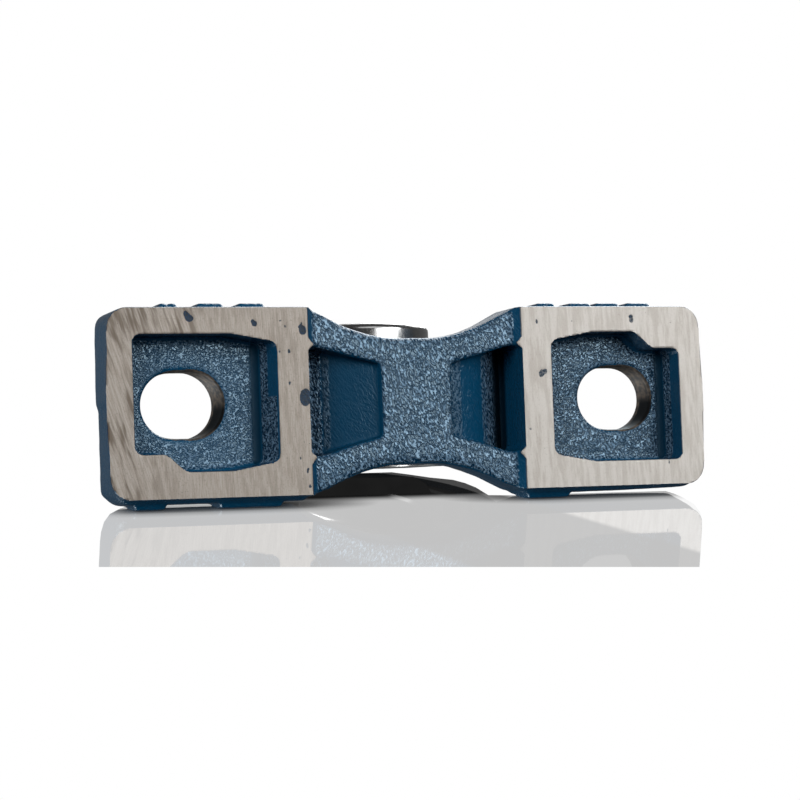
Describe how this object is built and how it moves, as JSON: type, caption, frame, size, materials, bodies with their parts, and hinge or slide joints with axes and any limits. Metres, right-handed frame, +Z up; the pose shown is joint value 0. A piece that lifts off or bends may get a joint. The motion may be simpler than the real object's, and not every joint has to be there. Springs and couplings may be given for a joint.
{
  "type": "pillow block bearing",
  "caption": "Cast pillow block with slotted machined feet, holding a self-aligning ball bearing insert with set screws and a grease nipple for a 30 mm shaft.",
  "frame": {"origin": "middle of the plane of the two machined feet", "axes": "+X along the base from bolt to bolt, +Y along the shaft away from the set screws, +Z up from the feet"},
  "size_m": [0.165, 0.048, 0.084],
  "materials": {
    "painted_casting": "satin blue paint over a sand-cast surface, with bare machined feet",
    "bearing_steel": "ground",
    "pressed_steel": "pressed sheet",
    "plated_steel": "zinc plated",
    "black_steel": "black oxide",
    "pin_steel": "ground",
    "seal_rubber": "moulded"
  },
  "bodies": {
    "base": {"housing": "painted_casting", "nipple_body": "plated_steel", "nipple_spring": "plated_steel"},
    "pin": {"locating_pin": "pin_steel"},
    "outer_race": {"outer_ring": "bearing_steel", "seal_shield_front": "pressed_steel", "seal_shield_back": "pressed_steel", "seal_lip_front": "seal_rubber", "seal_lip_back": "seal_rubber"},
    "inner_race": {"inner_ring": "bearing_steel", "flinger_front": "plated_steel", "flinger_back": "plated_steel"},
    "cage": {"cage_front": "pressed_steel", "cage_back": "pressed_steel", "cage_rivets": "pressed_steel"},
    "rolling_1": {"ball_1": "bearing_steel"},
    "rolling_2": {"ball_2": "bearing_steel"},
    "rolling_3": {"ball_3": "bearing_steel"},
    "rolling_4": {"ball_4": "bearing_steel"},
    "rolling_5": {"ball_5": "bearing_steel"},
    "rolling_6": {"ball_6": "bearing_steel"},
    "rolling_7": {"ball_7": "bearing_steel"},
    "rolling_8": {"ball_8": "bearing_steel"},
    "rolling_9": {"ball_9": "bearing_steel"},
    "screw_1": {"set_screw_1": "black_steel"},
    "screw_2": {"set_screw_2": "black_steel"},
    "valve": {"nipple_check_ball": "pin_steel"}
  },
  "joints": [
    {"name": "seat_swivel", "type": "hinge", "parent": "base", "child": "pin", "pos_m": [0, 0, 0.0429], "axis": [0, 0, 1], "range_deg": [-2, 2]},
    {"name": "seat_tilt", "type": "hinge", "parent": "pin", "child": "outer_race", "pos_m": [0, 0, 0.0429], "axis": [1, 0, 0], "range_deg": [-2, 2]},
    {"name": "shaft_spin", "type": "hinge", "parent": "outer_race", "child": "inner_race", "pos_m": [0, 0, 0.0429], "axis": [0, 1, 0], "continuous": true},
    {"name": "cage_orbit", "type": "hinge", "parent": "outer_race", "child": "cage", "pos_m": [0, 0, 0.0429], "axis": [0, 1, 0], "continuous": true},
    {"name": "ball_1_roll", "type": "hinge", "parent": "cage", "child": "rolling_1", "pos_m": [0.023, 0, 0.0429], "axis": [0, 1, 0], "continuous": true},
    {"name": "ball_2_roll", "type": "hinge", "parent": "cage", "child": "rolling_2", "pos_m": [0.01762, 0, 0.05768], "axis": [0, 1, 0], "continuous": true},
    {"name": "ball_3_roll", "type": "hinge", "parent": "cage", "child": "rolling_3", "pos_m": [0.00399, 0, 0.06555], "axis": [0, 1, 0], "continuous": true},
    {"name": "ball_4_roll", "type": "hinge", "parent": "cage", "child": "rolling_4", "pos_m": [-0.0115, 0, 0.06282], "axis": [0, 1, 0], "continuous": true},
    {"name": "ball_5_roll", "type": "hinge", "parent": "cage", "child": "rolling_5", "pos_m": [-0.02161, 0, 0.05077], "axis": [0, 1, 0], "continuous": true},
    {"name": "ball_6_roll", "type": "hinge", "parent": "cage", "child": "rolling_6", "pos_m": [-0.02161, 0, 0.03503], "axis": [0, 1, 0], "continuous": true},
    {"name": "ball_7_roll", "type": "hinge", "parent": "cage", "child": "rolling_7", "pos_m": [-0.0115, 0, 0.02298], "axis": [0, 1, 0], "continuous": true},
    {"name": "ball_8_roll", "type": "hinge", "parent": "cage", "child": "rolling_8", "pos_m": [0.00399, 0, 0.02025], "axis": [0, 1, 0], "continuous": true},
    {"name": "ball_9_roll", "type": "hinge", "parent": "cage", "child": "rolling_9", "pos_m": [0.01762, 0, 0.02812], "axis": [0, 1, 0], "continuous": true},
    {"name": "set_screw_1_drive", "type": "slide", "parent": "inner_race", "child": "screw_1", "axis": [0.866, 0, 0.5], "range_m": [-0.0002, 0.002]},
    {"name": "set_screw_2_drive", "type": "slide", "parent": "inner_race", "child": "screw_2", "axis": [-0.866, 0, 0.5], "range_m": [-0.0002, 0.002]},
    {"name": "nipple_valve", "type": "slide", "parent": "base", "child": "valve", "axis": [-0.7071, 0, -0.7071], "range_m": [0, 0.0008], "stiffness_N_per_m": 300, "springref_m": -0.001, "deforming": ["nipple_spring"]}
  ],
  "couplings": [
    {"joint": "cage_orbit", "follows": "shaft_spin", "ratio": 0.39647},
    {"joint": "ball_1_roll", "follows": "shaft_spin", "ratio": -2.3112},
    {"joint": "ball_2_roll", "follows": "shaft_spin", "ratio": -2.3112},
    {"joint": "ball_3_roll", "follows": "shaft_spin", "ratio": -2.3112},
    {"joint": "ball_4_roll", "follows": "shaft_spin", "ratio": -2.3112},
    {"joint": "ball_5_roll", "follows": "shaft_spin", "ratio": -2.3112},
    {"joint": "ball_6_roll", "follows": "shaft_spin", "ratio": -2.3112},
    {"joint": "ball_7_roll", "follows": "shaft_spin", "ratio": -2.3112},
    {"joint": "ball_8_roll", "follows": "shaft_spin", "ratio": -2.3112},
    {"joint": "ball_9_roll", "follows": "shaft_spin", "ratio": -2.3112}
  ]
}
